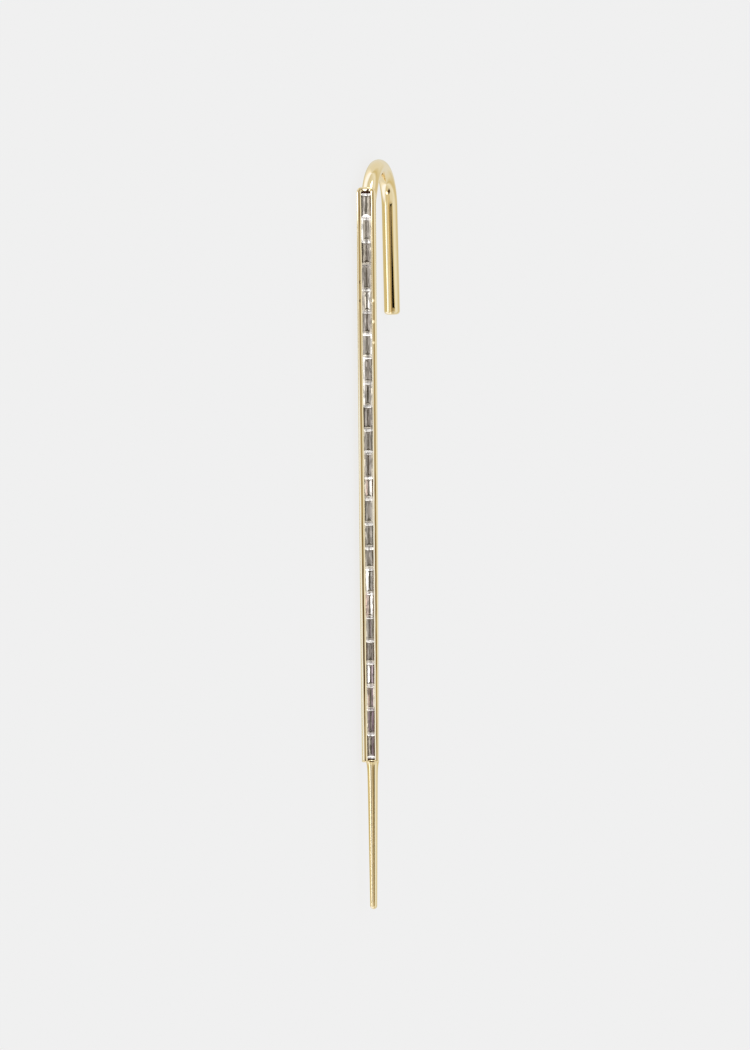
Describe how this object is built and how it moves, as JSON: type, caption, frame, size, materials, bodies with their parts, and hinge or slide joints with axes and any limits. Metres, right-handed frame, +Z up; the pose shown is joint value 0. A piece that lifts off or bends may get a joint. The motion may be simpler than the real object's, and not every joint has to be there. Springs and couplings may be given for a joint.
{
  "type": "ear pin",
  "caption": "Long ear pin: a wire hook over the top, a narrow channel set with a row of straight baguette stones, and a tapered post below.",
  "frame": {"origin": "middle of the pin's outline on the table that it lies on, at the table's height", "axes": "the pin lies on its side: hook end at -X, point of the post at +X, stones facing -Y and a little up, hook leg at +Y, +Z up"},
  "size_m": [0.0642, 0.0104, 0.0021],
  "materials": {
    "gold": "polished pale yellow gold",
    "diamond": "clear step-cut diamond"
  },
  "bodies": {
    "root": {"pin_frame": "gold", "baguette_01": "diamond", "baguette_02": "diamond", "baguette_03": "diamond", "baguette_04": "diamond", "baguette_05": "diamond", "baguette_06": "diamond", "baguette_07": "diamond", "baguette_08": "diamond", "baguette_09": "diamond", "baguette_10": "diamond", "baguette_11": "diamond", "baguette_12": "diamond", "baguette_13": "diamond", "baguette_14": "diamond", "baguette_15": "diamond", "baguette_16": "diamond", "baguette_17": "diamond", "baguette_18": "diamond", "baguette_19": "diamond", "baguette_20": "diamond", "baguette_21": "diamond", "baguette_22": "diamond", "baguette_23": "diamond", "baguette_24": "diamond"}
  },
  "joints": []
}
